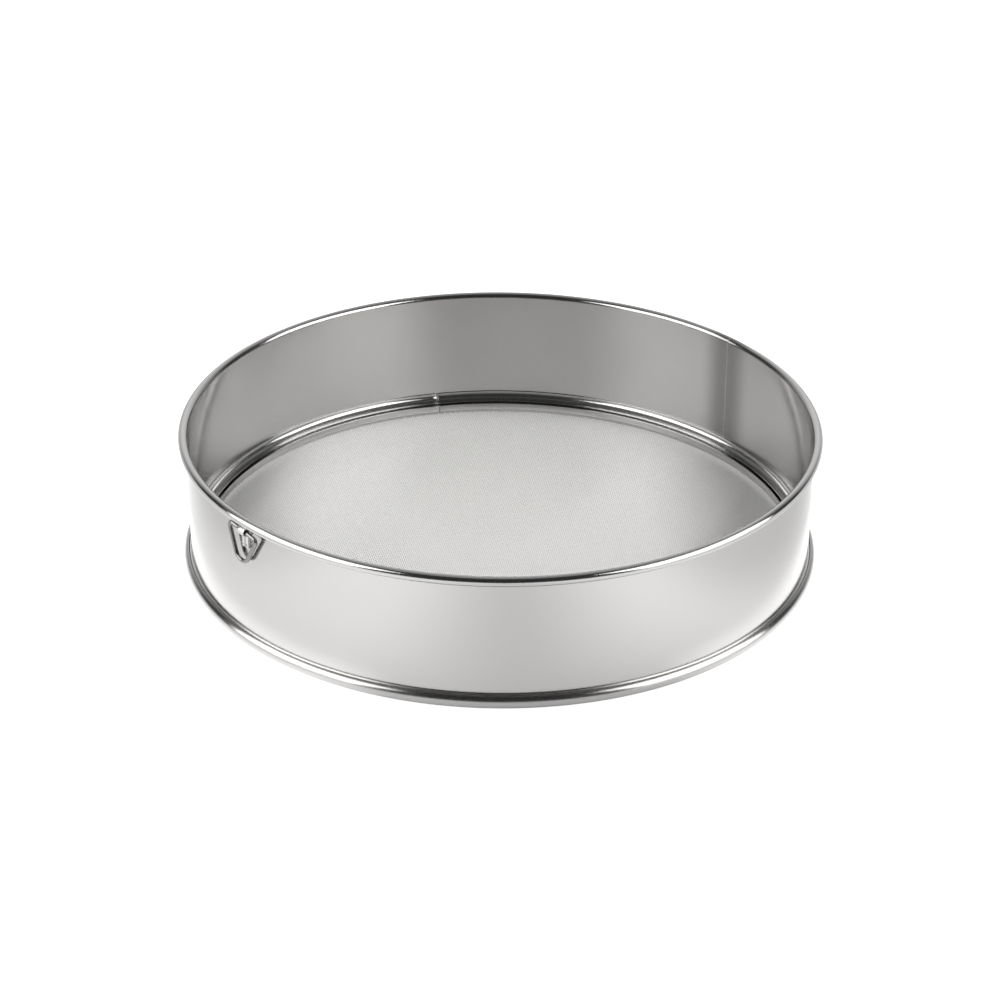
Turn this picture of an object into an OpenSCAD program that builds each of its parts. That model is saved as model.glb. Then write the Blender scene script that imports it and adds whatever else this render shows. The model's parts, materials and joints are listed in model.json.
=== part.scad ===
// Drum sieve: a shallow drum of polished sheet with a woven wire cloth
// stretched across its foot, and a small wire loop to hang it by.
// Millimetres. The origin is on the table, on the axis of the drum.
// +Z is up, and the hanging loop faces -Y.

/* [Drum] */
// Overall diameter, over the rolled rim
rim_d = 300; // [200:1:400]
// Overall height
drum_h = 66; // [50:0.5:120]
// Thickness of the drum's sheet
sheet_t = 0.5; // [0.4:0.1:0.8]
// Diameter of the rolled rim
bead_d = 4.5; // [4:0.1:6]
// Play of the stiffening wire in the rolled rim, on the radius
wire_play = 0.05; // [0.02:0.01:0.1]

/* [Wire cloth] */
// Thickness of the cloth, two wires
mesh_t = 0.6; // [0.4:0.1:0.8]
// Height of the cloth's underside above the table
mesh_z = 3.4; // [3:0.1:5]
// How far the turned-up edge of the cloth climbs the wall
mesh_edge_h = 2.5; // [1.5:0.1:2.6]

/* [Clamp ring] */
// Thickness of the channel that clamps the cloth
ring_t = 0.6; // [0.5:0.1:0.8]
// Height of the channel, above the cloth
ring_h = 3.7; // [3:0.1:4.5]
// Width of the channel over the cloth
ring_w = 6.6; // [5.5:0.1:8]

/* [Cove ring] */
// Thickness of the ring that covers the channel
cove_t = 0.5; // [0.4:0.1:0.6]
// Radius of its cove
cove_r = 2.9; // [2:0.1:3.6]
// How far it reaches in from the wall
cove_w = 5; // [4.4:0.1:5.4]
// Gap between it and the channel
cove_gap = 0.3; // [0.2:0.1:1]

/* [Lower hoop] */
// Thickness of the hoop's sheet
hoop_t = 0.6; // [0.4:0.1:0.8]
// Height of the half-round hoop
hoop_h = 7; // [6.6:0.1:8]
// How far the hoop stands out from the wall
hoop_out = 3.3; // [2.6:0.1:3.5]
// Width of the flat that the sieve rests on
foot_w = 0.8; // [0.5:0.1:1]
// Width of the flange under the cloth
flange_w = 5.6; // [4:0.1:7]

/* [Seams] */
// Width of the welds that close the wall and the rings
seam_w = 0.8; // [0.5:0.1:1.5]
// Direction of the wall's seam, from +X
wall_seam_az = 90; // [60:1:120]
// Direction of the seams of the clamp ring and the cove ring, from +X
ring_seam_az = 153; // [120:1:200]
// Direction of the hoop's seam, from +X
hoop_seam_az = 75; // [30:1:120]

/* [Hanger] */
// Diameter of the loop's wire
loop_wire_d = 2; // [1.6:0.1:2.4]
// Width of the loop between the bends of its bar
loop_w = 15.5; // [14:0.5:20]
// Height of the loop, from its bar to its tip
loop_h = 15.5; // [14:0.5:22]
// Bend radius at the ends of the bar
loop_bend_r = 1.8; // [1.6:0.1:2.5]
// Bend radius at the tip
loop_tip_r = 5; // [3:0.1:5.5]
// How much the wire thins where it is bent, on the radius
bend_thin = 0.01; // [0.01:0.005:0.03]
// Gap between the wire's two ends, inside the clip
loop_gap = 0.4; // [0.2:0.1:1]
// How far the loop hangs askew in its loose clip, in degrees; below zero its +X end hangs lower
loop_lean = -6; // [-8:0.5:8]
// Gap between the rolled rim and the top of the clip
clip_gap = 0.35; // [0.2:0.05:4]
// Thickness of the clip's strap
strap_t = 0.6; // [0.4:0.05:0.65]
// Width of the clip's strap
strap_w = 5.5; // [4:0.5:8]
// Length of the strap's tail below the bar
strap_tail = 8.4; // [7:0.1:10]
// Play that the leaning bar keeps in the clip's eye, on the radius
eye_play = 0.1; // [0.05:0.01:0.3]
// Width of the crease down the tail
crease_w = 0.7; // [0.4:0.1:1]
// Depth of the crease
crease_d = 0.2; // [0.1:0.05:0.3]
// Diameter of the spot welds
spot_d = 1.4; // [1:0.1:1.6]
// Height of the spot welds
spot_h = 0.15; // [0.1:0.05:0.3]

/* [Hidden] */
$fn = 180;

steel = "#c3c3c2";
bright_steel = "#d6d6d5";
cloth_grey = "#b9b9b7";
dark_steel = "#8b8b89";

// The rolled rim hangs outside the wall: its inner side is flush with the wall's inside.
bead_r = bead_d / 2;
bead_cr = rim_d / 2 - bead_r;
bead_cz = drum_h - bead_r;
wall_ir = rim_d / 2 - bead_d;
wall_or = wall_ir + sheet_t;
wire_r = bead_r - sheet_t - wire_play;
// The sheet rolls on until its edge is near the wall again.
curl_end = -120;
curl_steps = 30;
arc_steps = 8;

// Levels at the foot: the cloth lies on the hoop's flange, the wall and the clamp ring on the cloth.
cloth_top = mesh_z + mesh_t;
ring_top = cloth_top + ring_h;

// The hoop's outer face is an arc, hoop_h high and hoop_out deep.
hoop_or = wall_or + hoop_out;
hoop_arc_r = (pow(hoop_h / 2, 2) + pow(hoop_out, 2)) / (2 * hoop_out);
hoop_arc_cr = hoop_or - hoop_arc_r;
hoop_mid_r = hoop_arc_r - hoop_t / 2;
lip_gap = 0.3;
foot_a = -asin((hoop_h - hoop_t) / 2 / hoop_mid_r);
foot_r = hoop_arc_cr + hoop_mid_r * cos(foot_a);
lip_a = acos((wall_or + mesh_t + lip_gap - hoop_arc_cr) / hoop_mid_r);
leg_bend_r = 0.5;
leg_r = foot_r - foot_w - leg_bend_r;

// The hanger: the bar lies in the eye of the strap, whose back seats on the wall.
seat_gap = 0.02;
loop_wire_r = loop_wire_d / 2;
// The eye is wide enough for the bar to lean as it does from one edge of the strap to the other.
eye_r = loop_wire_r / cos(loop_lean) + strap_w / 2 * tan(abs(loop_lean)) + eye_play;
bar_y = -(wall_or + seat_gap + strap_t + eye_r);
bar_z = drum_h - bead_d - clip_gap - strap_t - eye_r;
tail_z = bar_z - strap_tail;
fold_gap = 0.05;
bend_lap = 3;

// Points on an arc in the plane, from angle a0 to a1.
function arc(cx, cy, r, a0, a1, n) =
    [for (i = [0:n])
        let (a = a0 + (a1 - a0) * i / n)
        [cx + r * cos(a), cy + r * sin(a)]];

// Unit vector from p to q, and the same turned left by a right angle.
function unit(p, q) = (q - p) / norm(q - p);
function left(v) = [-v[1], v[0]];

// Sideways direction of a bent path at point i, stretched at the bends,
// so that the sheet keeps its thickness.
function side_at(path, i) =
    let (n = len(path) - 1)
    let (before = i > 0 ? unit(path[i - 1], path[i]) : unit(path[0], path[1]))
    let (after = i < n ? unit(path[i], path[i + 1]) : before)
    let (mid = left(before) + left(after))
    mid * 2 / (mid * mid);

// Outline of a sheet of thickness t whose middle follows a path.
// A far end that isn't cut square has points of its own.
function sheet_outline(path, t, end = []) = concat(
    [for (i = [0:len(path) - 1]) path[i] + side_at(path, i) * t / 2],
    end,
    [for (i = [len(path) - 1:-1:0]) path[i] - side_at(path, i) * t / 2]);

// A strip of sheet whose section follows a path, bent round the drum's axis.
module hooped_sheet(path, t, end = []) {
    rotate_extrude()
        polygon(sheet_outline(path, t, end));
}

// A slot across one side of the drum, in the direction az.
module seam_slot(az) {
    rotate([0, 0, az])
        translate([rim_d / 4, -seam_w / 2, -1])
            cube([rim_d / 2, seam_w, drum_h + 2]);
}

// A hooped strip, open at its butt joint.
module open_at(az) {
    difference() {
        children();
        seam_slot(az);
    }
}

// The weld that fills the joint, ground flush with the sheet.
module weld_at(az) {
    intersection() {
        union() children();
        seam_slot(az);
    }
}

// Middle line of the wall's sheet: straight up, then rolled outwards round the rim wire.
wall_mid_r = wall_ir + sheet_t / 2;
curl_r = bead_r - sheet_t / 2;
wall_path = concat(
    [[wall_mid_r, cloth_top]],
    arc(bead_cr, bead_cz, curl_r, 180, curl_end, curl_steps));

// Middle line of the clamp ring's sheet, an open channel: down its inner leg, over the cloth
// and up its outer leg, which lies against the wall.
ring_bend_r = 0.1 + ring_t / 2;
ring_in_r = wall_ir - ring_w + ring_t / 2;
ring_out_r = wall_ir - ring_t / 2;
ring_bend_z = cloth_top + ring_t / 2 + ring_bend_r;
ring_path = concat(
    [[ring_in_r, ring_top]],
    arc(ring_in_r + ring_bend_r, ring_bend_z, ring_bend_r, 180, 270, 4),
    arc(ring_out_r - ring_bend_r, ring_bend_z, ring_bend_r, 270, 360, 4),
    [[ring_out_r, ring_top]]);

// Middle line of the cove ring's sheet: in over the channel, round the cove and up the wall.
cove_z = ring_top + cove_gap + cove_t / 2;
cove_mid_r = cove_r + cove_t / 2;
cove_lip_r = cove_t / 2;
cove_top = cove_z + cove_mid_r + 0.4;
cove_path = concat(
    [[wall_ir - cove_w, cove_z]],
    arc(wall_ir - cove_t - cove_r, cove_z + cove_mid_r, cove_mid_r, -90, 0, arc_steps),
    [[wall_ir - cove_t / 2, cove_top - cove_lip_r]]);
// Its top edge is rounded towards the inside of the drum.
cove_lip = concat(
    arc(wall_ir - cove_t + cove_lip_r, cove_top - cove_lip_r, cove_lip_r, 165, 90, 5),
    [[wall_ir, cove_top]]);

// Middle line of the hoop's sheet: flange, leg, foot, then up the half-round face to the lip.
flange_mid_z = mesh_z - hoop_t / 2;
hoop_path = concat(
    [[wall_ir - flange_w, flange_mid_z]],
    arc(leg_r - leg_bend_r, flange_mid_z - leg_bend_r, leg_bend_r, 90, 0, 4),
    arc(leg_r + leg_bend_r, hoop_t / 2 + leg_bend_r, leg_bend_r, 180, 270, 4),
    arc(hoop_arc_cr, hoop_h / 2, hoop_mid_r, foot_a, lip_a, 2 * arc_steps));

// The drum's wall with its rolled rim.
module drum_wall() {
    color(steel)
        open_at(wall_seam_az)
            hooped_sheet(wall_path, sheet_t);
}

// The weld that closes the wall, from its foot up and round the rim.
module wall_seam() {
    color(dark_steel)
        weld_at(wall_seam_az)
            hooped_sheet(wall_path, sheet_t);
}

// The stiffening wire inside the rolled rim.
module rim_wire() {
    color(dark_steel)
        rotate_extrude()
            translate([bead_cr, bead_cz])
                circle(r = wire_r);
}

// The channel inside the wall that holds the cloth down.
module clamp_ring() {
    color(steel)
        open_at(ring_seam_az)
            hooped_sheet(ring_path, ring_t);
}

// The coved ring over the channel, which leaves no corner at the wall's foot.
module cove_ring() {
    color(bright_steel)
        open_at(ring_seam_az)
            hooped_sheet(cove_path, cove_t, cove_lip);
}

// The welds that close these two rings.
module ring_seam() {
    color(dark_steel)
        weld_at(ring_seam_az) {
            hooped_sheet(ring_path, ring_t);
            hooped_sheet(cove_path, cove_t, cove_lip);
        }
}

// The cloth: a disc under the wall, with its edge turned up outside the wall.
module mesh_screen() {
    color(cloth_grey)
        rotate_extrude() {
            translate([0, mesh_z])
                square([wall_or + mesh_t, mesh_t]);
            translate([wall_or, mesh_z])
                square([mesh_t, mesh_t + mesh_edge_h]);
        }
}

// The outer hoop that traps the cloth's edge and carries the sieve.
module lower_hoop() {
    color(steel)
        open_at(hoop_seam_az)
            hooped_sheet(hoop_path, hoop_t);
}

// The weld that closes the hoop.
module hoop_seam() {
    color(dark_steel)
        weld_at(hoop_seam_az)
            hooped_sheet(hoop_path, hoop_t);
}

// Middle line of the clip's strap, seen from +X with the wall on the right:
// up the wall, round the bar and back down over itself.
strap_mid_r = eye_r + strap_t / 2;
back_y = bar_y + strap_mid_r;
front_y = back_y - strap_t - fold_gap;
neck_z = bar_z - strap_mid_r - strap_t;
strap_path = concat(
    [[back_y, tail_z]],
    arc(bar_y, bar_z, strap_mid_r, 0, 270, 3 * arc_steps),
    [[front_y, neck_z], [front_y, tail_z]]);

// The folded strap that holds the loop, with a round eye and a crease down its front layer.
module hanger_clip() {
    color(bright_steel)
        difference() {
            rotate([90, 0, 90])
                linear_extrude(height = strap_w, center = true)
                    polygon(sheet_outline(strap_path, strap_t));
            translate([0, bar_y, bar_z])
                rotate([0, 90, 0])
                    cylinder(r = eye_r, h = strap_w + 2, center = true);
            translate([-crease_w / 2, front_y - strap_t / 2 - 1, tail_z - 1])
                cube([crease_w, 1 + crease_d, strap_tail - strap_mid_r]);
        }
}

// Two spot welds on the tail, either side of the crease.
module clip_welds() {
    color(dark_steel)
        for (side = [-1, 1])
            translate([side * strap_w / 4 + side * crease_w / 4, front_y - strap_t / 2, tail_z + spot_d])
                rotate([90, 0, 0])
                    cylinder(d1 = spot_d, d2 = spot_d * 0.7, h = spot_h);
}

// Corner centres of the loop's bends, in its own plane: x across, y up from the bar.
corner = [loop_w / 2, -loop_bend_r];
tip = [0, -(loop_h - loop_tip_r)];
// The leg is the straight line that touches both bends on their outsides.
leg_d = norm(corner - tip);
leg_tilt = atan2(corner[0] - tip[0], corner[1] - tip[1]) + asin((loop_bend_r - loop_tip_r) / leg_d);

// A straight length of the loop's wire between two points of its plane.
module wire_run(p, q) {
    d = q - p;
    translate([p[0], p[1], 0])
        rotate([0, 0, atan2(d[1], d[0])])
            rotate([0, 90, 0])
                cylinder(r = loop_wire_r, h = norm(d));
}

// A bend of the loop's wire about a centre, from angle a0 through da.
// Its ends run into the straight lengths.
module wire_bend(c, r, a0, da) {
    translate([c[0], c[1], 0])
        rotate([0, 0, a0 - bend_lap])
            rotate_extrude(angle = da + 2 * bend_lap)
                translate([r, 0])
                    circle(r = loop_wire_r - bend_thin);
}

// One half of the loop: half the bar, a bend and a leg.
module half_loop() {
    out = [cos(leg_tilt), -sin(leg_tilt)];
    wire_run([loop_gap / 2, 0], [corner[0], 0]);
    wire_bend(corner, loop_bend_r, -leg_tilt, 90 + leg_tilt);
    wire_run(corner + out * loop_bend_r, tip + out * loop_tip_r);
}

// The hanging loop, an open wire triangle whose ends meet inside the clip.
module hanging_loop() {
    color(bright_steel)
        translate([0, bar_y, bar_z])
            rotate([90, 0, 0])
                rotate([0, 0, loop_lean]) {
                    half_loop();
                    mirror([1, 0, 0]) half_loop();
                    wire_bend(tip, loop_tip_r, 180 + leg_tilt, 180 - 2 * leg_tilt);
                }
}

drum_wall();
wall_seam();
rim_wire();
clamp_ring();
cove_ring();
ring_seam();
mesh_screen();
lower_hoop();
hoop_seam();
hanger_clip();
clip_welds();
hanging_loop();
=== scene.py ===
"""Drum sieve: a shallow drum of polished steel sheet with a woven wire cloth stretched across its
foot, and a small wire loop to hang it by. Metres; the origin is on the table, on the drum's axis,
and the hanging loop faces -Y."""
import json
import math

import bpy
import numpy as np
from mathutils import Matrix, Vector


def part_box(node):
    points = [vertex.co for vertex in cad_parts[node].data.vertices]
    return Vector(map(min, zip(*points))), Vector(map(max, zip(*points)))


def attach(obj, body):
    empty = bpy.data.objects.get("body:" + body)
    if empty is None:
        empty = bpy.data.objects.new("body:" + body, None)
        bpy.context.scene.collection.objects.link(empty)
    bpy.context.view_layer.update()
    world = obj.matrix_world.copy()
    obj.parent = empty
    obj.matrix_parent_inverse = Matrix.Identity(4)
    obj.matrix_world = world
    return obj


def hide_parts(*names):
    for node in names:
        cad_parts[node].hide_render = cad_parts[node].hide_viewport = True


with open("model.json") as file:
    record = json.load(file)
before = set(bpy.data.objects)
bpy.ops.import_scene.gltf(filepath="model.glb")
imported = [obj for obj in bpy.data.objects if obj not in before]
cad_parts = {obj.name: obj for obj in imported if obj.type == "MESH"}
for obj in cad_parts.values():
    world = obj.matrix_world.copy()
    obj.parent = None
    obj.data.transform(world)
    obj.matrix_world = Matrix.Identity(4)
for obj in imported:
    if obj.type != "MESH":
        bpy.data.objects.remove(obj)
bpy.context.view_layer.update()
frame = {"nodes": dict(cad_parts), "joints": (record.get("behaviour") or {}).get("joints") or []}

MM = 0.001

# Sizes read from the frame.
RIM_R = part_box("drum_wall")[1].x
DRUM_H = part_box("drum_wall")[1].z
CLOTH_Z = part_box("mesh_screen")[0].z
CLOTH_EDGE_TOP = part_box("mesh_screen")[1].z
CLOTH_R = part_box("mesh_screen")[1].x
RING_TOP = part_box("clamp_ring")[1].z
COVE_LOW, COVE_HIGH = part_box("cove_ring")[0].z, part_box("cove_ring")[1].z
HOOP_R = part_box("lower_hoop")[1].x
CLIP_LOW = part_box("hanger_clip")[0]
LOOP_JOINT = next(j for j in frame["joints"] if j["name"] == "loop_swing")
BAR = Vector(LOOP_JOINT["pos_m"])
BAR_LEAN = math.atan2(LOOP_JOINT["axis"][2], LOOP_JOINT["axis"][0]) + math.pi

# The drum's sheet and its rolled rim.
SHEET_T = 0.5 * MM
BEAD_R = 2.25 * MM
BEAD_CR = RIM_R - BEAD_R
BEAD_CZ = DRUM_H - BEAD_R
WALL_IR = RIM_R - 2 * BEAD_R
WALL_OR = WALL_IR + SHEET_T
WALL_FOOT_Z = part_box("drum_wall")[0].z
CURL_TURN = math.radians(300)

# The clamp ring: an open channel that stands on the cloth.
RING_T = 0.6 * MM
RING_W = 6.6 * MM
RING_BEND_R = 0.4 * MM

# The cove ring over it.
COVE_T = 0.5 * MM
COVE_R = 2.9 * MM
COVE_W = 5 * MM

# The lower hoop: a flange under the cloth, a leg, a flat foot and a half-round face.
HOOP_T = 0.6 * MM
HOOP_H = 7 * MM
HOOP_OUT = HOOP_R - WALL_OR
HOOP_FLANGE_W = 5.6 * MM
HOOP_FOOT_W = 0.8 * MM
HOOP_LEG_BEND = 0.5 * MM
HOOP_LIP_GAP = 0.3 * MM

# The welds, by their direction from +X.
SEAM_W = 0.8 * MM
WALL_SEAM = math.radians(90)
RING_SEAM = math.radians(153)
HOOP_SEAM = math.radians(75)

# The woven cloth: plain weave, both sets of wires crimped over and under each other. Real cloth of
# this kind has wires of about 0.2 mm at a pitch of 0.5 mm, too fine to show, so it is drawn coarser.
WIRE_D = 0.3 * MM
WIRE_PITCH = 0.9 * MM
CLOTH_TURN = math.radians(42)

# The hanging loop and the folded strap that holds it.
LOOP_WIRE_R = 1 * MM
LOOP_W = 15.5 * MM
LOOP_H = 15.5 * MM
LOOP_BEND_R = 1.8 * MM
LOOP_TIP_R = 5 * MM
LOOP_GAP = 0.4 * MM
STRAP_T = 0.6 * MM
STRAP_W = 5.5 * MM
STRAP_FOLD_GAP = 0.05 * MM
SEAT_GAP = 0.02 * MM
EYE_R = -BAR.y - WALL_OR - SEAT_GAP - STRAP_T
CREASE_W = 0.7 * MM
CREASE_D = 0.2 * MM

# Small bevels on cut edges.
RING_EDGE = 0.15 * MM
COVE_EDGE = 0.2 * MM
HOOP_EDGE = 0.12 * MM
STRAP_EDGE = 0.08 * MM

# Steps of a whole turn, and the angles past which an edge is shaded sharp, or bevelled.
AROUND = 360
SHARP = math.radians(35)
BEVELLED = math.radians(60)

# The photograph's viewpoint: a long lens, turned from the loop's side towards +X and looking down.
VIEW_AZ = math.radians(50)
VIEW_EL = math.radians(26.56)
VIEW_DISTANCE = 1.5
VIEW_AIM_Z = 63.85 * MM
VIEW_TILT = math.radians(1.31)
VIEW_ROLL = math.radians(0.42)
SENSOR_MM = 36
LENS_IN_WIDTHS = 3.2134
TO_VIEWER = (math.sin(VIEW_AZ), -math.cos(VIEW_AZ), 0)
TO_VIEWERS_RIGHT = (math.cos(VIEW_AZ), math.sin(VIEW_AZ), 0)

# The room's light: the ceiling light's lean away from the viewer, and what matt surfaces get.
CEILING_LEAN = math.radians(38)
DIFFUSE_FILL = 0.5

# The two soft lamps, on either side of the view.
LAMP_W = 1.3
LAMP_H = 1.1
LAMP_RADIANCE = 3.1
LAMP_DISTANCE = 1.3
LAMP_AZ = math.radians(72)
LAMP_EL = math.radians(28)


def linear(hex_colour):
    """An sRGB colour such as "#c8c8c6" as linear red, green, blue and alpha."""
    parts = [int(hex_colour[i:i + 2], 16) / 255 for i in (1, 3, 5)]
    return [p / 12.92 if p <= 0.04045 else ((p + 0.055) / 1.055) ** 2.4 for p in parts] + [1.0]


def add(tree, kind, values=None, links=None, **settings):
    """Adds a node: settings are its own, values go on its sockets, and links come into them."""
    made = tree.nodes.new(kind)
    for key, value in settings.items():
        setattr(made, key, value)
    for key, value in (values or {}).items():
        made.inputs[key].default_value = value
    for key, source in (links or {}).items():
        tree.links.new(source, made.inputs[key])
    return made


def new_material(name):
    """An empty node material and its tree."""
    material = bpy.data.materials.new(name)
    material.use_nodes = True
    material.node_tree.nodes.clear()
    return material, material.node_tree


def select_only(obj):
    """Selects one object and makes it the active one."""
    bpy.ops.object.select_all(action="DESELECT")
    obj.select_set(True)
    bpy.context.view_layer.objects.active = obj


def start_section(name, x, z):
    """A single point in the plane y = 0, in edit mode, from which a section is drawn."""
    bpy.ops.object.select_all(action="DESELECT")
    bpy.ops.mesh.primitive_plane_add(size=MM)
    obj = bpy.context.object
    obj.name = obj.data.name = name
    bpy.ops.object.mode_set(mode="EDIT")
    bpy.ops.mesh.select_mode(type="VERT")
    bpy.ops.mesh.select_all(action="SELECT")
    bpy.ops.mesh.merge(type="CENTER")
    bpy.ops.transform.translate(value=(x, 0, z))
    return obj


def run(dx, dz):
    """Draws the section on, along a straight line."""
    bpy.ops.mesh.extrude_region_move(TRANSFORM_OT_translate={"value": (dx, 0, dz)})


def turn(cx, cz, angle, steps):
    """Draws the section on, round a centre, counter-clockwise when x is to the right."""
    bpy.ops.mesh.spin(steps=steps, angle=angle, center=(cx, 0, cz), axis=(0, 1, 0))


def apply_modifier(obj, kind, **settings):
    """Adds a modifier, sets it and applies it."""
    modifier = obj.modifiers.new(kind.lower(), kind)
    for key, value in settings.items():
        setattr(modifier, key, value)
    select_only(obj)
    bpy.ops.object.modifier_apply(modifier=modifier.name)


def revolve(obj, thickness, seam_az, from_angle, to_angle, steps, edge=0.0):
    """Spins a finished section round the drum's axis and gives the sheet its thickness.
    The angles are counted from the seam's direction."""
    bpy.ops.object.mode_set(mode="OBJECT")
    obj.rotation_euler.z = seam_az + from_angle
    select_only(obj)
    bpy.ops.object.transform_apply(location=True, rotation=True, scale=True)
    bpy.ops.object.mode_set(mode="EDIT")
    bpy.ops.mesh.select_all(action="SELECT")
    bpy.ops.mesh.spin(steps=steps, angle=from_angle - to_angle, center=(0, 0, 0), axis=(0, 0, 1))
    bpy.ops.mesh.select_all(action="SELECT")
    bpy.ops.mesh.remove_doubles(threshold=0.001 * MM)
    bpy.ops.mesh.normals_make_consistent(inside=False)
    bpy.ops.object.mode_set(mode="OBJECT")
    apply_modifier(obj, "SOLIDIFY", thickness=thickness, offset=0, use_even_offset=True)
    if edge:
        apply_modifier(obj, "BEVEL", width=edge, segments=3, limit_method="ANGLE", angle_limit=BEVELLED)
    select_only(obj)
    bpy.ops.object.mode_set(mode="EDIT")
    bpy.ops.mesh.select_all(action="SELECT")
    bpy.ops.mesh.normals_make_consistent(inside=False)
    bpy.ops.object.mode_set(mode="OBJECT")
    bpy.ops.object.shade_smooth_by_angle(angle=SHARP)
    return obj


def hooped_pair(names, draw, thickness, seam_az, edge=0.0):
    """A sheet ring that is open at its seam, and the weld that fills the seam."""
    half = SEAM_W / 2 / WALL_IR
    ring = revolve(draw(names[0]), thickness, seam_az, half, 2 * math.pi - half, AROUND, edge)
    weld = revolve(draw(names[1]), thickness, seam_az, -half, half, 2)
    return ring, weld


def draw_wall(name):
    """Section of the drum's wall: straight up, then rolled outwards into the rim."""
    mid_r = WALL_IR + SHEET_T / 2
    obj = start_section(name, mid_r, WALL_FOOT_Z)
    run(0, BEAD_CZ - WALL_FOOT_Z)
    turn(BEAD_CR, BEAD_CZ, -CURL_TURN, 40)
    return obj


def draw_ring(name):
    """Section of the clamp ring: down its inner leg, over the cloth, and up the wall."""
    in_r = WALL_IR - RING_W + RING_T / 2
    out_r = WALL_IR - RING_T / 2
    bend_z = CLOTH_Z + 2 * WIRE_D + RING_T / 2 + RING_BEND_R
    obj = start_section(name, in_r, RING_TOP)
    run(0, bend_z - RING_TOP)
    turn(in_r + RING_BEND_R, bend_z, math.pi / 2, 8)
    run(out_r - in_r - 2 * RING_BEND_R, 0)
    turn(out_r - RING_BEND_R, bend_z, math.pi / 2, 8)
    run(0, RING_TOP - bend_z)
    return obj


def draw_cove(name):
    """Section of the cove ring: in over the channel, round the cove, and up the wall."""
    mid_r = COVE_R + COVE_T / 2
    centre_r = WALL_IR - COVE_T - COVE_R
    low_z = COVE_LOW + COVE_T / 2
    obj = start_section(name, WALL_IR - COVE_W, low_z)
    run(centre_r - WALL_IR + COVE_W, 0)
    turn(centre_r, low_z + mid_r, math.pi / 2, 24)
    run(0, COVE_HIGH - low_z - mid_r)
    return obj


def draw_hoop(name):
    """Section of the lower hoop: flange, leg, foot, then up the half-round face to the lip."""
    arc_r = ((HOOP_H / 2) ** 2 + HOOP_OUT ** 2) / (2 * HOOP_OUT)
    arc_cr = HOOP_R - arc_r
    mid_r = arc_r - HOOP_T / 2
    foot_a = -math.asin((HOOP_H - HOOP_T) / 2 / mid_r)
    lip_a = math.acos((CLOTH_R + HOOP_LIP_GAP - arc_cr) / mid_r)
    foot_r = arc_cr + mid_r * math.cos(foot_a)
    leg_r = foot_r - HOOP_FOOT_W - HOOP_LEG_BEND
    flange_z = CLOTH_Z - HOOP_T / 2
    obj = start_section(name, WALL_IR - HOOP_FLANGE_W, flange_z)
    run(leg_r - HOOP_LEG_BEND - (WALL_IR - HOOP_FLANGE_W), 0)
    turn(leg_r - HOOP_LEG_BEND, flange_z - HOOP_LEG_BEND, -math.pi / 2, 6)
    run(0, HOOP_T / 2 + 2 * HOOP_LEG_BEND - flange_z)
    turn(leg_r + HOOP_LEG_BEND, HOOP_T / 2 + HOOP_LEG_BEND, math.pi / 2, 6)
    run(foot_r - leg_r - HOOP_LEG_BEND, 0)
    turn(arc_cr, HOOP_H / 2, lip_a - foot_a, 28)
    return obj


def drum_coordinates(tree):
    """The distance round the drum from +X and the height, both in millimetres."""
    place = add(tree, "ShaderNodeTexCoord")
    axes = add(tree, "ShaderNodeSeparateXYZ", links={0: place.outputs["Object"]})
    angle = add(
        tree, "ShaderNodeMath", links={0: axes.outputs["Y"], 1: axes.outputs["X"]}, operation="ARCTAN2")
    along = add(tree, "ShaderNodeMath", {1: WALL_IR / MM}, {0: angle.outputs[0]}, operation="MULTIPLY")
    height = add(tree, "ShaderNodeMath", {1: 1 / MM}, {0: axes.outputs["Z"]}, operation="MULTIPLY")
    return along.outputs[0], height.outputs[0]


def sheet_finish(tree, colour, roughness, line_mm, bump_mm, seam=None):
    """Shader of rolled sheet: fine lines that run round the drum, as the strip was rolled, and a
    duller strip where the weld at the seam's direction was ground. The lines are 50 mm long and
    line_mm wide; real rolling lines are under 0.1 mm wide, so they are drawn wider to show at all."""
    along, height = drum_coordinates(tree)
    around = add(tree, "ShaderNodeCombineXYZ", links={"X": along, "Y": height})
    stretched = add(
        tree, "ShaderNodeMapping", {"Scale": (1 / 50, 1 / line_mm, 1)}, {"Vector": around.outputs[0]})
    lines = add(tree, "ShaderNodeTexNoise", {"Scale": 1.0, "Detail": 3.0}, {"Vector": stretched.outputs[0]})
    bump = add(
        tree, "ShaderNodeBump", {"Strength": 1.0, "Distance": bump_mm * MM}, {"Height": lines.outputs["Fac"]})
    rough = add(
        tree, "ShaderNodeMapRange", {"To Min": roughness * 0.8, "To Max": roughness * 1.2},
        {"Value": lines.outputs["Fac"]})
    tangent = add(tree, "ShaderNodeTangent", direction_type="RADIAL", axis="Z")
    shader = add(
        tree, "ShaderNodeBsdfPrincipled",
        {"Base Color": linear(colour), "Metallic": 1.0, "Anisotropic": 0.8, "Anisotropic Rotation": 0.25},
        {"Roughness": rough.outputs[0], "Normal": bump.outputs[0], "Tangent": tangent.outputs[0]})
    if seam is not None:
        off = add(tree, "ShaderNodeMath", {1: seam * WALL_IR / MM}, {0: along}, operation="SUBTRACT")
        off = add(tree, "ShaderNodeMath", links={0: off.outputs[0]}, operation="ABSOLUTE")
        ground = add(
            tree, "ShaderNodeMapRange", {"From Min": 3.0, "From Max": 18.0, "To Min": 1.0, "To Max": 0.0},
            {"Value": off.outputs[0]}, interpolation_type="SMOOTHSTEP")
        tone = add(
            tree, "ShaderNodeMix", {6: linear(colour), 7: linear("#929190")}, {0: ground.outputs[0]},
            data_type="RGBA")
        tree.links.new(tone.outputs[2], shader.inputs["Base Color"])
    add(tree, "ShaderNodeOutputMaterial", links={"Surface": shader.outputs[0]})


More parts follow.
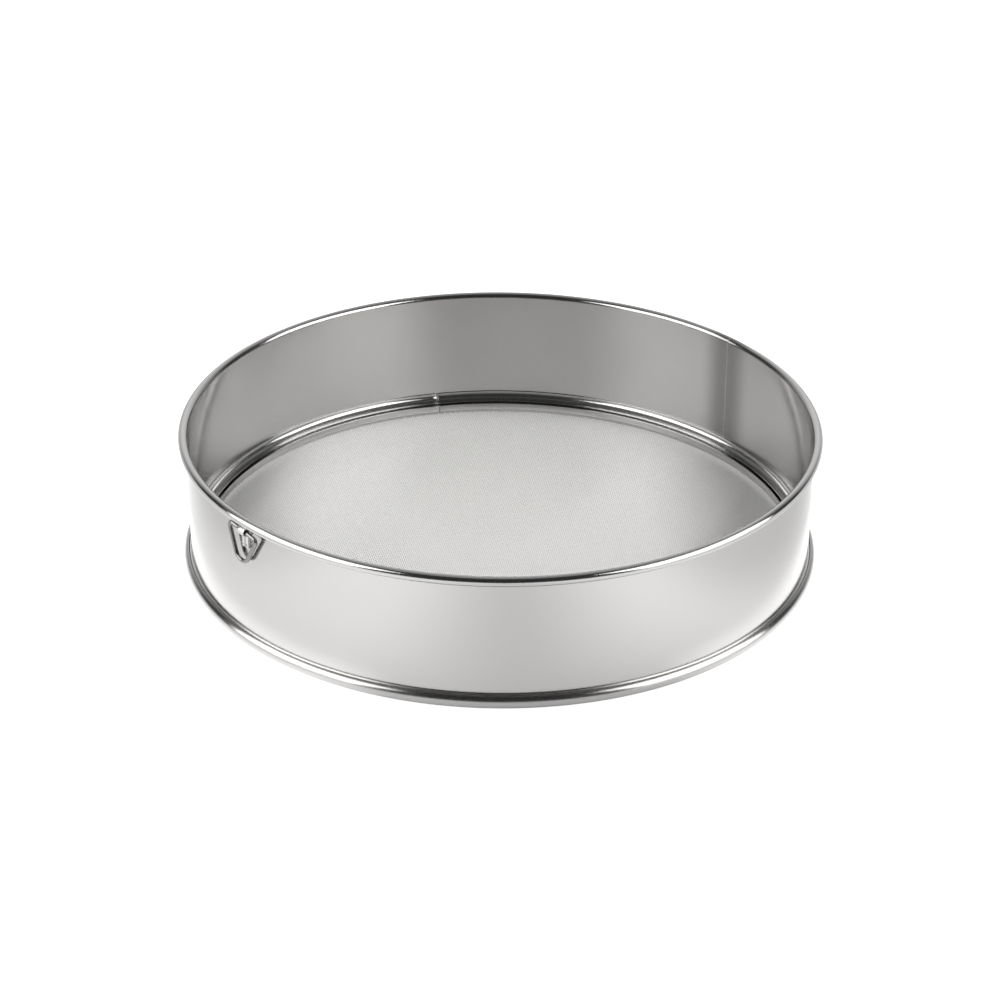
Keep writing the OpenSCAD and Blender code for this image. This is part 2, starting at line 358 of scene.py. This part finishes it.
def polished_sheet():
    """Stainless strip with a bright annealed finish: nearly a mirror, drawn out a little up and down."""
    material, tree = new_material("polished_rolled_stainless")
    sheet_finish(tree, "#c4c3c2", 0.16, 0.4, 0.001, WALL_SEAM)
    return material


def bright_ring():
    """Stainless strip, spun and polished: sharper than the wall, with faint lines round the drum."""
    material, tree = new_material("spun_bright_stainless")
    sheet_finish(tree, "#c9c8c7", 0.18, 0.3, 0.002)
    return material


def satin_sheet():
    """Stainless strip with a finer, duller rolled finish, and a base colour darker than the wall's, partly as
    that finish and partly as painted shade on the hoop's face.
    """
    material, tree = new_material("satin_rolled_stainless")
    sheet_finish(tree, "#b6b5b4", 0.22, 0.3, 0.002)
    return material


def ground_weld():
    """Stainless weld bead ground flush: duller than the sheet, with grinding marks 0.4 mm wide."""
    material, tree = new_material("ground_stainless_weld")
    place = add(tree, "ShaderNodeTexCoord")
    grain = add(
        tree, "ShaderNodeTexNoise", {"Scale": 1 / (0.4 * MM), "Detail": 2.0},
        {"Vector": place.outputs["Object"]})
    bump = add(
        tree, "ShaderNodeBump", {"Strength": 1.0, "Distance": 0.01 * MM}, {"Height": grain.outputs["Fac"]})
    rough = add(tree, "ShaderNodeMapRange", {"To Min": 0.3, "To Max": 0.5}, {"Value": grain.outputs["Fac"]})
    shader = add(
        tree, "ShaderNodeBsdfPrincipled", {"Base Color": linear("#a5a4a3"), "Metallic": 1.0},
        {"Roughness": rough.outputs[0], "Normal": bump.outputs[0]})
    add(tree, "ShaderNodeOutputMaterial", links={"Surface": shader.outputs[0]})
    return material


def drawn_wire(name, colour, roughness):
    """Stainless wire, drawn through a die: smooth, with a faint mottle, 0.9 patches a millimetre. The colour
    is given: the cloth's is paler than stainless, as painted light, and the loop's darker, as painted shade.
    """
    material, tree = new_material(name)
    place = add(tree, "ShaderNodeTexCoord")
    mottle = add(
        tree, "ShaderNodeTexNoise", {"Scale": 0.9 / MM, "Detail": 2.0}, {"Vector": place.outputs["Object"]})
    rough = add(
        tree, "ShaderNodeMapRange", {"To Min": roughness * 0.75, "To Max": roughness * 1.25},
        {"Value": mottle.outputs["Fac"]})
    shader = add(
        tree, "ShaderNodeBsdfPrincipled", {"Base Color": linear(colour), "Metallic": 1.0},
        {"Roughness": rough.outputs[0]})
    add(tree, "ShaderNodeOutputMaterial", links={"Surface": shader.outputs[0]})
    return material


def paint(obj, material):
    """Gives a piece its one material."""
    obj.data.materials.clear()
    obj.data.materials.append(material)


def settle(obj, material, node, body="drum"):
    """Paints a piece, hides the frame's part that it stands for, and hangs it on what it rides on."""
    paint(obj, material)
    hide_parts(node)
    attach(obj, body)


def crimped_rows(first, last, rise):
    """Wires that run along x at every second pitch, from row first to row last: each is a thin tube
    that goes up and down by rise, from crossing to crossing."""
    reach = 2 * math.ceil(CLOTH_R / WIRE_PITCH / 2)
    bpy.ops.object.select_all(action="DESELECT")
    bpy.ops.mesh.primitive_circle_add(vertices=4, radius=WIRE_D / 2, rotation=(0, math.pi / 2, 0))
    wire = bpy.context.object
    bpy.ops.object.transform_apply(rotation=True)
    bpy.ops.object.mode_set(mode="EDIT")
    bpy.ops.mesh.select_all(action="SELECT")
    bpy.ops.transform.translate(value=(-reach * WIRE_PITCH, first * WIRE_PITCH, rise))
    bpy.ops.mesh.extrude_region_move(TRANSFORM_OT_translate={"value": (WIRE_PITCH, 0, -2 * rise)})
    bpy.ops.mesh.extrude_region_move(TRANSFORM_OT_translate={"value": (WIRE_PITCH, 0, 2 * rise)})
    bpy.ops.object.mode_set(mode="OBJECT")
    apply_modifier(
        wire, "ARRAY", count=reach, use_relative_offset=False, use_constant_offset=True,
        constant_offset_displace=(2 * WIRE_PITCH, 0, 0), use_merge_vertices=True, merge_threshold=0.01 * MM)
    apply_modifier(
        wire, "ARRAY", count=(last - first) // 2 + 1, use_relative_offset=False, use_constant_offset=True,
        constant_offset_displace=(0, 2 * WIRE_PITCH, 0))
    return wire


def woven_band(name, first, last, turned):
    """Part of one set of the cloth's wires, cut to the circle of the clamped edge."""
    side = -1 if turned else 1
    even = first + first % 2
    odd = first + 1 - first % 2
    rows = [crimped_rows(even, last, side * WIRE_D / 2), crimped_rows(odd, last, -side * WIRE_D / 2)]
    select_only(rows[0])
    rows[1].select_set(True)
    bpy.ops.object.join()
    obj = bpy.context.object
    obj.name = obj.data.name = name
    mesh = obj.data
    place = np.empty(len(mesh.vertices) * 3)
    mesh.vertices.foreach_get("co", place)
    place = place.reshape(-1, 3)
    row = np.round(place[:, 1] / WIRE_PITCH) * WIRE_PITCH
    outside = place[:, 0] ** 2 + row ** 2 > (CLOTH_R - 3 * WIRE_D) ** 2
    bpy.ops.object.mode_set(mode="EDIT")
    bpy.ops.mesh.select_mode(type="VERT")
    bpy.ops.mesh.select_all(action="DESELECT")
    bpy.ops.object.mode_set(mode="OBJECT")
    mesh.vertices.foreach_set("select", outside)
    bpy.ops.object.mode_set(mode="EDIT")
    bpy.ops.mesh.delete(type="VERT")
    bpy.ops.mesh.select_all(action="SELECT")
    bpy.ops.mesh.fill_holes(sides=4)
    bpy.ops.mesh.select_all(action="SELECT")
    bpy.ops.mesh.normals_make_consistent(inside=False)
    bpy.ops.object.mode_set(mode="OBJECT")
    obj.rotation_euler.z = CLOTH_TURN + (math.pi / 2 if turned else 0)
    obj.location.z = CLOTH_Z + WIRE_D
    bpy.ops.object.transform_apply(location=True, rotation=True, scale=True)
    bpy.ops.object.shade_smooth()
    return obj


def cloth(wire):
    """The woven cloth in eight bands, four of each set of wires, about as large as each other, and
    its turned-up edge, a plain band between the wall and the hoop."""
    last = int(CLOTH_R / WIRE_PITCH)
    split = int(0.404 * last)
    bands = ((-last, -split - 1), (-split, -1), (0, split), (split + 1, last))
    for number, (first, end) in enumerate(bands, 1):
        for turned, kind in ((False, "warp"), (True, "weft")):
            band = woven_band(f"cloth_{kind}_{number}", first, end, turned)
            settle(band, wire, "mesh_screen")
    edge = start_section("cloth_edge", WALL_OR + WIRE_D, CLOTH_Z + 2 * WIRE_D)
    run(0, CLOTH_EDGE_TOP - CLOTH_Z - 2 * WIRE_D)
    revolve(edge, 2 * WIRE_D, 0, 0, 2 * math.pi, AROUND)
    settle(edge, wire, "mesh_screen")


def draw_strap(name):
    """Section of the clip's strap: up the wall, over and round the bar, and back down on itself.
    Here x counts along the sieve's y."""
    mid_r = EYE_R + STRAP_T / 2
    back = BAR.y + mid_r
    front = back - STRAP_T - STRAP_FOLD_GAP
    neck_z = BAR.z - mid_r - STRAP_T
    obj = start_section(name, back, CLIP_LOW.z)
    run(0, BAR.z - CLIP_LOW.z)
    turn(BAR.y, BAR.z, math.radians(270), 30)
    run(front - BAR.y, neck_z - (BAR.z - mid_r))
    run(0, CLIP_LOW.z - neck_z)
    return obj, front - STRAP_T / 2, neck_z


def hanger_strap():
    """The folded strap, drawn as a section and pulled out to its width, with a crease down its front."""
    obj, face_y, neck_z = draw_strap("hanger_strap")
    side = (STRAP_W - CREASE_W) / 2
    bpy.ops.mesh.select_all(action="SELECT")
    bpy.ops.transform.translate(value=(0, -STRAP_W / 2, 0))
    for width in (side, CREASE_W, side):
        bpy.ops.mesh.extrude_region_move(TRANSFORM_OT_translate={"value": (0, width, 0)})
    bpy.ops.object.mode_set(mode="OBJECT")
    apply_modifier(obj, "SOLIDIFY", thickness=STRAP_T, offset=0, use_even_offset=True)
    select_only(obj)
    obj.rotation_euler.z = math.pi / 2
    bpy.ops.object.transform_apply(location=True, rotation=True, scale=True)
    bpy.ops.object.mode_set(mode="EDIT")
    bpy.ops.mesh.select_mode(type="FACE")
    bpy.ops.mesh.select_all(action="SELECT")
    bpy.ops.mesh.normals_make_consistent(inside=False)
    bpy.ops.mesh.select_all(action="DESELECT")
    bpy.ops.object.mode_set(mode="OBJECT")
    for face in obj.data.polygons:
        face.select = (
            abs(face.center.x) < CREASE_W / 2 and face.center.z < neck_z
            and abs(face.center.y - face_y) < 0.01 * MM)
    bpy.ops.object.mode_set(mode="EDIT")
    bpy.ops.mesh.extrude_region_move(TRANSFORM_OT_translate={"value": (0, CREASE_D, 0)})
    bpy.ops.mesh.select_mode(type="VERT")
    bpy.ops.object.mode_set(mode="OBJECT")
    apply_modifier(obj, "BEVEL", width=STRAP_EDGE, segments=2, limit_method="ANGLE", angle_limit=BEVELLED)
    bpy.ops.object.shade_smooth_by_angle(angle=SHARP)
    return obj


def wire_loop():
    """The hanging loop: one round wire, drawn from its end in the clip round the triangle and back."""
    leg_h = LOOP_H - LOOP_TIP_R - LOOP_BEND_R
    leg_d = math.hypot(LOOP_W / 2, leg_h)
    tilt = math.atan2(LOOP_W / 2, leg_h) + math.asin((LOOP_BEND_R - LOOP_TIP_R) / leg_d)
    leg = math.sqrt(leg_d ** 2 - (LOOP_TIP_R - LOOP_BEND_R) ** 2)
    half_bar = (LOOP_W - LOOP_GAP) / 2
    bpy.ops.object.select_all(action="DESELECT")
    bpy.ops.mesh.primitive_circle_add(
        vertices=24, radius=LOOP_WIRE_R, fill_type="NGON", rotation=(0, math.pi / 2, 0))
    obj = bpy.context.object
    obj.name = obj.data.name = "loop_wire"
    bpy.ops.object.transform_apply(rotation=True)
    bpy.ops.object.mode_set(mode="EDIT")
    bpy.ops.mesh.select_all(action="SELECT")
    bpy.ops.transform.translate(value=(LOOP_GAP / 2, 0, 0))
    run(half_bar, 0)
    turn(LOOP_W / 2, -LOOP_BEND_R, -math.pi / 2 - tilt, 16)
    run(-leg * math.sin(tilt), -leg * math.cos(tilt))
    turn(0, LOOP_TIP_R - LOOP_H, -math.pi + 2 * tilt, 20)
    run(-leg * math.sin(tilt), leg * math.cos(tilt))
    turn(-LOOP_W / 2, -LOOP_BEND_R, -math.pi / 2 - tilt, 16)
    run(half_bar, 0)
    bpy.ops.mesh.select_all(action="SELECT")
    bpy.ops.mesh.normals_make_consistent(inside=False)
    bpy.ops.object.mode_set(mode="OBJECT")
    obj.rotation_euler.y = -BAR_LEAN
    obj.location = BAR
    select_only(obj)
    bpy.ops.object.transform_apply(location=True, rotation=True, scale=True)
    bpy.ops.object.shade_smooth_by_angle(angle=math.radians(60))
    return obj


def camera():
    """The photograph's viewpoint, aimed a little above the drum's middle."""
    data = bpy.data.cameras.new("camera")
    data.sensor_width = SENSOR_MM
    data.lens = LENS_IN_WIDTHS * SENSOR_MM
    data.clip_end = 20
    obj = bpy.data.objects.new("camera", data)
    bpy.context.scene.collection.objects.link(obj)
    level = math.cos(VIEW_EL)
    back = Vector((math.sin(VIEW_AZ) * level, -math.cos(VIEW_AZ) * level, math.sin(VIEW_EL)))
    turned = (
        Matrix.Rotation(VIEW_AZ, 4, "Z") @ Matrix.Rotation(math.pi / 2 - VIEW_EL - VIEW_TILT, 4, "X")
        @ Matrix.Rotation(VIEW_ROLL, 4, "Z"))
    obj.matrix_world = Matrix.Translation(Vector((0, 0, VIEW_AIM_Z)) + back * VIEW_DISTANCE) @ turned
    bpy.context.scene.camera = obj


def room():
    """What is round the object: white for the camera, and for the metal a dim room with a pale
    backdrop behind the object and a soft ceiling light that leans back over it."""
    world = bpy.data.worlds.new("studio")
    bpy.context.scene.world = world
    world.use_nodes = True
    tree = world.node_tree
    tree.nodes.clear()
    path = add(tree, "ShaderNodeLightPath")
    place = add(tree, "ShaderNodeTexCoord")
    axes = add(tree, "ShaderNodeSeparateXYZ", links={0: place.outputs["Generated"]})
    toward = add(
        tree, "ShaderNodeVectorMath", {1: TO_VIEWER}, {0: place.outputs["Generated"]},
        operation="DOT_PRODUCT")
    behind = add(
        tree, "ShaderNodeMapRange", {"From Min": -0.85, "From Max": -0.5, "To Min": 1.0, "To Max": 0.0},
        {"Value": toward.outputs["Value"]})
    low = add(
        tree, "ShaderNodeMapRange", {"From Min": 0.45, "From Max": 0.75, "To Min": 0.6, "To Max": 0.0},
        {"Value": axes.outputs["Z"]})
    backdrop = add(
        tree, "ShaderNodeMath", links={0: behind.outputs[0], 1: low.outputs[0]}, operation="MULTIPLY")
    flat, up = math.sin(CEILING_LEAN), math.cos(CEILING_LEAN)
    overhead = add(
        tree, "ShaderNodeVectorMath", {1: (-math.sin(VIEW_AZ) * flat, math.cos(VIEW_AZ) * flat, up)},
        {0: place.outputs["Generated"]}, operation="DOT_PRODUCT")
    ceiling = add(
        tree, "ShaderNodeMapRange", {"From Min": 0.68, "From Max": 0.93, "To Min": 0.04, "To Max": 0.4},
        {"Value": overhead.outputs["Value"]})
    metal = add(
        tree, "ShaderNodeMath", links={0: backdrop.outputs[0], 1: ceiling.outputs[0]}, operation="ADD")
    fill = add(
        tree, "ShaderNodeMath", {1: DIFFUSE_FILL}, {0: path.outputs["Is Diffuse Ray"], 2: metal.outputs[0]},
        operation="MULTIPLY_ADD")
    dim = add(tree, "ShaderNodeBackground", {"Color": linear("#ffffff")}, {"Strength": fill.outputs[0]})
    white = add(tree, "ShaderNodeBackground", {"Color": linear("#ffffff"), "Strength": 1.0})
    mix = add(
        tree, "ShaderNodeMixShader",
        links={0: path.outputs["Is Camera Ray"], 1: dim.outputs[0], 2: white.outputs[0]})
    add(tree, "ShaderNodeOutputWorld", links={"Surface": mix.outputs[0]})


def floor_glow_with_painted_light(tree):
    """How white the sweep looks, beyond the lamps' light on it: white to the camera, and in the metal's
    mirror images a painted reflection of light, brighter on either side of the drum than in front of it.
    Under the drum it darkens with painted shade to the left, to the right and to the near side, where the
    drum shades it, and the camera sees that painted shade through the cloth. Metres."""
    path = add(tree, "ShaderNodeLightPath")
    place = add(tree, "ShaderNodeTexCoord")
    across = add(
        tree, "ShaderNodeVectorMath", {1: TO_VIEWERS_RIGHT}, {0: place.outputs["Object"]},
        operation="DOT_PRODUCT")
    depth = add(
        tree, "ShaderNodeVectorMath", {1: TO_VIEWER}, {0: place.outputs["Object"]},
        operation="DOT_PRODUCT")
    radius = add(tree, "ShaderNodeVectorMath", links={0: place.outputs["Object"]}, operation="LENGTH")

    # Round the drum, painted light seen only in the metal's mirror images: darkest straight ahead, and bright
    # again close to the drum's sides.
    middle = add(tree, "ShaderNodeMath", {1: 0.015}, {0: across.outputs["Value"]}, operation="SUBTRACT")
    middle = add(tree, "ShaderNodeMath", links={0: middle.outputs[0]}, operation="ABSOLUTE")
    outer = add(tree, "ShaderNodeMath", {1: 0.008}, {0: across.outputs["Value"]}, operation="ADD")
    outer = add(tree, "ShaderNodeMath", links={0: outer.outputs[0]}, operation="ABSOLUTE")
    rise = add(
        tree, "ShaderNodeMapRange", {"From Min": 0.0, "From Max": 0.13, "To Min": 0.03, "To Max": 0.45},
        {"Value": middle.outputs[0]}, interpolation_type="SMOOTHSTEP")
    fall = add(
        tree, "ShaderNodeMapRange", {"From Min": 0.15, "From Max": 0.21, "To Min": 1.0, "To Max": 0.1},
        {"Value": outer.outputs[0]}, interpolation_type="SMOOTHSTEP")
    painted_light_patch = add(tree, "ShaderNodeMath", links={0: rise.outputs[0], 1: fall.outputs[0]}, operation="MULTIPLY")
    near = add(
        tree, "ShaderNodeMapRange", {"From Min": 0.15, "From Max": 0.18, "To Min": 1.0, "To Max": 0.0},
        {"Value": radius.outputs["Value"]}, interpolation_type="SMOOTHSTEP")
    sides = add(
        tree, "ShaderNodeMapRange", {"From Min": 0.04, "From Max": 0.11, "To Min": 0.0, "To Max": 1.0},
        {"Value": middle.outputs[0]}, interpolation_type="SMOOTHSTEP")
    foot = add(tree, "ShaderNodeMath", links={0: near.outputs[0], 1: sides.outputs[0]}, operation="MULTIPLY")
    around = add(
        tree, "ShaderNodeMath", links={0: painted_light_patch.outputs[0], 1: foot.outputs[0]}, operation="MAXIMUM")

    # Under the drum: painted shade.
    inside = add(
        tree, "ShaderNodeMapRange", {"From Min": 0.138, "From Max": 0.143, "To Min": 1.0, "To Max": 0.0},
        {"Value": radius.outputs["Value"]})
    ends = add(
        tree, "ShaderNodeMapRange", {"From Min": 0.075, "From Max": 0.13, "To Min": 0.8, "To Max": 0.1},
        {"Value": outer.outputs[0]}, interpolation_type="SMOOTHSTEP")
    front = add(
        tree, "ShaderNodeMapRange", {"From Min": 0.0, "From Max": 0.14, "To Min": 1.0, "To Max": 0.6},
        {"Value": depth.outputs["Value"]})
    under = add(tree, "ShaderNodeMath", links={0: ends.outputs[0], 1: front.outputs[0]}, operation="MULTIPLY")

    # To the camera and in mirror images.
    image = add(
        tree, "ShaderNodeMix", links={0: inside.outputs[0], 2: around.outputs[0], 3: under.outputs[0]})
    shown = add(tree, "ShaderNodeMix", {2: 0.8}, {0: inside.outputs[0], 3: under.outputs[0]})
    mirrored = add(
        tree, "ShaderNodeMath", links={0: path.outputs["Is Glossy Ray"], 1: image.outputs[0]},
        operation="MULTIPLY")
    return add(
        tree, "ShaderNodeMath",
        links={0: path.outputs["Is Camera Ray"], 1: shown.outputs[0], 2: mirrored.outputs[0]},
        operation="MULTIPLY_ADD")


def sweep():
    """The white paper that the sieve stands on."""
    bpy.ops.object.select_all(action="DESELECT")
    bpy.ops.mesh.primitive_plane_add(size=12)
    floor = bpy.context.object
    floor.name = "floor"
    material, tree = new_material("white_sweep")
    matt = add(tree, "ShaderNodeBsdfDiffuse", {"Color": linear("#dedede")})
    # The sweep's glow carries painted light round the drum and painted shade under it.
    strength = floor_glow_with_painted_light(tree)
    glow = add(tree, "ShaderNodeEmission", {"Color": linear("#ffffff")}, {"Strength": strength.outputs[0]})
    both = add(tree, "ShaderNodeAddShader", links={0: matt.outputs[0], 1: glow.outputs[0]})
    add(tree, "ShaderNodeOutputMaterial", links={"Surface": both.outputs[0]})
    paint(floor, material)


def lamps():
    """A large soft lamp on either side of the view."""
    for name, side in (("left_lamp", -1), ("right_lamp", 1)):
        data = bpy.data.lights.new(name, "AREA")
        data.shape = "RECTANGLE"
        data.size = LAMP_W
        data.size_y = LAMP_H
        data.energy = math.pi * LAMP_W * LAMP_H * LAMP_RADIANCE
        lamp = bpy.data.objects.new(name, data)
        bpy.context.scene.collection.objects.link(lamp)
        away = VIEW_AZ + side * LAMP_AZ
        level = math.cos(LAMP_EL)
        place = LAMP_DISTANCE * Vector((math.sin(away) * level, -math.cos(away) * level, math.sin(LAMP_EL)))
        lamp.matrix_world = Matrix.Translation(place) @ place.to_track_quat("Z", "Y").to_matrix().to_4x4()
        lamp.visible_camera = False


def main():
    """Builds the sieve out of its pieces, and the studio that it stands in."""
    camera()
    room()
    sweep()
    lamps()
    polished, satin, weld = polished_sheet(), satin_sheet(), ground_weld()
    wall, wall_weld = hooped_pair(("wall_skin", "wall_weld"), draw_wall, SHEET_T, WALL_SEAM)
    settle(wall, polished, "drum_wall")
    settle(wall_weld, weld, "wall_seam")
    spun = bright_ring()
    ring, ring_weld = hooped_pair(("ring_skin", "ring_weld"), draw_ring, RING_T, RING_SEAM, RING_EDGE)
    settle(ring, spun, "clamp_ring")
    settle(ring_weld, weld, "ring_seam")
    cove, cove_weld = hooped_pair(("cove_skin", "cove_weld"), draw_cove, COVE_T, RING_SEAM, COVE_EDGE)
    settle(cove, spun, "cove_ring")
    settle(cove_weld, weld, "ring_seam")
    hoop, hoop_weld = hooped_pair(("hoop_skin", "hoop_weld"), draw_hoop, HOOP_T, HOOP_SEAM, HOOP_EDGE)
    settle(hoop, satin, "lower_hoop")
    settle(hoop_weld, weld, "hoop_seam")
    # The cloth's wire is paler than stainless: painted light, brightening the cloth beyond what the lamps
    # give it.
    cloth(drawn_wire("woven_wire_painted_light", "#e6e5e4", 0.36))
    # The loop's wire is much darker than stainless: painted shade that dulls the loop's lit side. The rim
    # wire is given it too.
    wire = drawn_wire("drawn_wire_painted_shade", "#8e8d8c", 0.22)
    settle(hanger_strap(), drawn_wire("folded_bright_strap", "#d6d5d4", 0.25), "hanger_clip")
    settle(wire_loop(), wire, "hanging_loop", "loop")
    paint(frame["nodes"]["rim_wire"], wire)
    paint(frame["nodes"]["clip_welds"], weld)


bpy.context.scene.view_settings.view_transform = "Standard"
main()
